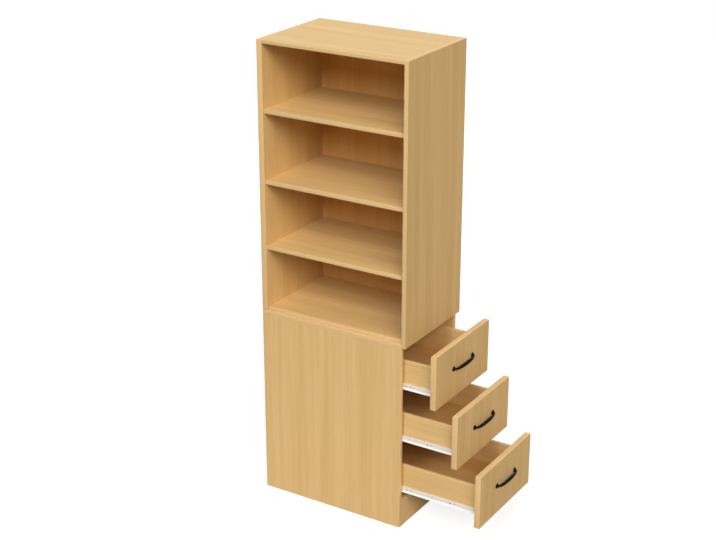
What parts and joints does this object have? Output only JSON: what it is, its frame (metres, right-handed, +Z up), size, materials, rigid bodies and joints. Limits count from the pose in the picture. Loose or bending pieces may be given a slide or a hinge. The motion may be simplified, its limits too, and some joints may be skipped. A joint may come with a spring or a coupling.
{
  "type": "shelving unit",
  "caption": "Tall narrow shelving unit with open compartments above and roller-mounted drawers that slide out of the right end of its closed base.",
  "frame": {"origin": "on the floor, at the centre of the footprint of the unit with its drawers open as in the picture (the middle of the bounding box's bottom)", "axes": "+Z up, -Y the open front of the shelves, +X the end that the drawers slide out of"},
  "size_m": [1.0758, 0.455, 2],
  "materials": {
    "wood_laminate": "satin light oak laminate with fine straight grain and matching edge banding",
    "thin_wood_board": "satin light oak laminate on a thin board",
    "white_coated_steel": "smooth white powder coat",
    "white_nylon": "moulded white nylon",
    "black_metal": "smooth black lacquer, slightly glossy"
  },
  "bodies": {
    "carcass": {"left_side": "wood_laminate", "right_side": "wood_laminate", "top_panel": "wood_laminate", "upper_floor": "wood_laminate", "shelf_1": "wood_laminate", "shelf_2": "wood_laminate", "shelf_3": "wood_laminate", "upper_back": "thin_wood_board", "lower_front_panel": "wood_laminate", "lower_rear_panel": "wood_laminate", "lower_left_side": "wood_laminate", "lower_top": "wood_laminate", "lower_floor": "wood_laminate", "plinth": "wood_laminate", "top_near_cabinet_runner": "white_coated_steel", "top_far_cabinet_runner": "white_coated_steel", "middle_near_cabinet_runner": "white_coated_steel", "middle_far_cabinet_runner": "white_coated_steel", "bottom_near_cabinet_runner": "white_coated_steel", "bottom_far_cabinet_runner": "white_coated_steel"},
    "top_drawer": {"top_front": "wood_laminate", "top_near_side": "wood_laminate", "top_far_side": "wood_laminate", "top_back": "wood_laminate", "top_bottom": "thin_wood_board", "top_near_drawer_runner": "white_coated_steel", "top_far_drawer_runner": "white_coated_steel", "top_handle": "black_metal"},
    "top_near_front_roller": {"top_near_front_roller": "white_nylon"},
    "top_near_rear_roller": {"top_near_rear_roller": "white_nylon"},
    "top_far_front_roller": {"top_far_front_roller": "white_nylon"},
    "top_far_rear_roller": {"top_far_rear_roller": "white_nylon"},
    "middle_drawer": {"middle_front": "wood_laminate", "middle_near_side": "wood_laminate", "middle_far_side": "wood_laminate", "middle_back": "wood_laminate", "middle_bottom": "thin_wood_board", "middle_near_drawer_runner": "white_coated_steel", "middle_far_drawer_runner": "white_coated_steel", "middle_handle": "black_metal"},
    "middle_near_front_roller": {"middle_near_front_roller": "white_nylon"},
    "middle_near_rear_roller": {"middle_near_rear_roller": "white_nylon"},
    "middle_far_front_roller": {"middle_far_front_roller": "white_nylon"},
    "middle_far_rear_roller": {"middle_far_rear_roller": "white_nylon"},
    "bottom_drawer": {"bottom_front": "wood_laminate", "bottom_near_side": "wood_laminate", "bottom_far_side": "wood_laminate", "bottom_back": "wood_laminate", "bottom_bottom": "thin_wood_board", "bottom_near_drawer_runner": "white_coated_steel", "bottom_far_drawer_runner": "white_coated_steel", "bottom_handle": "black_metal"},
    "bottom_near_front_roller": {"bottom_near_front_roller": "white_nylon"},
    "bottom_near_rear_roller": {"bottom_near_rear_roller": "white_nylon"},
    "bottom_far_front_roller": {"bottom_far_front_roller": "white_nylon"},
    "bottom_far_rear_roller": {"bottom_far_rear_roller": "white_nylon"}
  },
  "joints": [
    {"name": "top_drawer_slide", "type": "slide", "parent": "carcass", "child": "top_drawer", "axis": [1, 0, 0], "range_m": [-0.133, 0.319]},
    {"name": "top_near_front_roller_spin", "type": "hinge", "parent": "carcass", "child": "top_near_front_roller", "pos_m": [0.1221, -0.2036, 0.64767], "axis": [0, 1, 0], "range_deg": [-667.6, 1594.3]},
    {"name": "top_near_rear_roller_spin", "type": "hinge", "parent": "top_drawer", "child": "top_near_rear_roller", "pos_m": [-0.3159, -0.2024, 0.64767], "axis": [0, 1, 0], "range_deg": [-667.6, 1594.3]},
    {"name": "top_far_front_roller_spin", "type": "hinge", "parent": "carcass", "child": "top_far_front_roller", "pos_m": [0.1221, 0.2036, 0.64767], "axis": [0, 1, 0], "range_deg": [-667.6, 1594.3]},
    {"name": "top_far_rear_roller_spin", "type": "hinge", "parent": "top_drawer", "child": "top_far_rear_roller", "pos_m": [-0.3159, 0.2024, 0.64767], "axis": [0, 1, 0], "range_deg": [-667.6, 1594.3]},
    {"name": "middle_drawer_slide", "type": "slide", "parent": "carcass", "child": "middle_drawer", "axis": [1, 0, 0], "range_m": [-0.236, 0.216]},
    {"name": "middle_near_front_roller_spin", "type": "hinge", "parent": "carcass", "child": "middle_near_front_roller", "pos_m": [0.1221, -0.2036, 0.40983], "axis": [0, 1, 0], "range_deg": [-1180.8, 1081.2]},
    {"name": "middle_near_rear_roller_spin", "type": "hinge", "parent": "middle_drawer", "child": "middle_near_rear_roller", "pos_m": [-0.2129, -0.2024, 0.40983], "axis": [0, 1, 0], "range_deg": [-1180.8, 1081.2]},
    {"name": "middle_far_front_roller_spin", "type": "hinge", "parent": "carcass", "child": "middle_far_front_roller", "pos_m": [0.1221, 0.2036, 0.40983], "axis": [0, 1, 0], "range_deg": [-1180.8, 1081.2]},
    {"name": "middle_far_rear_roller_spin", "type": "hinge", "parent": "middle_drawer", "child": "middle_far_rear_roller", "pos_m": [-0.2129, 0.2024, 0.40983], "axis": [0, 1, 0], "range_deg": [-1180.8, 1081.2]},
    {"name": "bottom_drawer_slide", "type": "slide", "parent": "carcass", "child": "bottom_drawer", "axis": [1, 0, 0], "range_m": [-0.347, 0.105]},
    {"name": "bottom_near_front_roller_spin", "type": "hinge", "parent": "carcass", "child": "bottom_near_front_roller", "pos_m": [0.1221, -0.2036, 0.172], "axis": [0, 1, 0], "range_deg": [-1733.8, 528.1]},
    {"name": "bottom_near_rear_roller_spin", "type": "hinge", "parent": "bottom_drawer", "child": "bottom_near_rear_roller", "pos_m": [-0.1019, -0.2024, 0.172], "axis": [0, 1, 0], "range_deg": [-1733.8, 528.1]},
    {"name": "bottom_far_front_roller_spin", "type": "hinge", "parent": "carcass", "child": "bottom_far_front_roller", "pos_m": [0.1221, 0.2036, 0.172], "axis": [0, 1, 0], "range_deg": [-1733.8, 528.1]},
    {"name": "bottom_far_rear_roller_spin", "type": "hinge", "parent": "bottom_drawer", "child": "bottom_far_rear_roller", "pos_m": [-0.1019, 0.2024, 0.172], "axis": [0, 1, 0], "range_deg": [-1733.8, 528.1]}
  ],
  "couplings": [
    {"joint": "top_near_front_roller_spin", "follows": "top_drawer_slide", "rad_per_m": 86.957},
    {"joint": "top_near_rear_roller_spin", "follows": "top_drawer_slide", "rad_per_m": 86.957},
    {"joint": "top_far_front_roller_spin", "follows": "top_drawer_slide", "rad_per_m": 86.957},
    {"joint": "top_far_rear_roller_spin", "follows": "top_drawer_slide", "rad_per_m": 86.957},
    {"joint": "middle_near_front_roller_spin", "follows": "middle_drawer_slide", "rad_per_m": 86.957},
    {"joint": "middle_near_rear_roller_spin", "follows": "middle_drawer_slide", "rad_per_m": 86.957},
    {"joint": "middle_far_front_roller_spin", "follows": "middle_drawer_slide", "rad_per_m": 86.957},
    {"joint": "middle_far_rear_roller_spin", "follows": "middle_drawer_slide", "rad_per_m": 86.957},
    {"joint": "bottom_near_front_roller_spin", "follows": "bottom_drawer_slide", "rad_per_m": 86.957},
    {"joint": "bottom_near_rear_roller_spin", "follows": "bottom_drawer_slide", "rad_per_m": 86.957},
    {"joint": "bottom_far_front_roller_spin", "follows": "bottom_drawer_slide", "rad_per_m": 86.957},
    {"joint": "bottom_far_rear_roller_spin", "follows": "bottom_drawer_slide", "rad_per_m": 86.957}
  ]
}
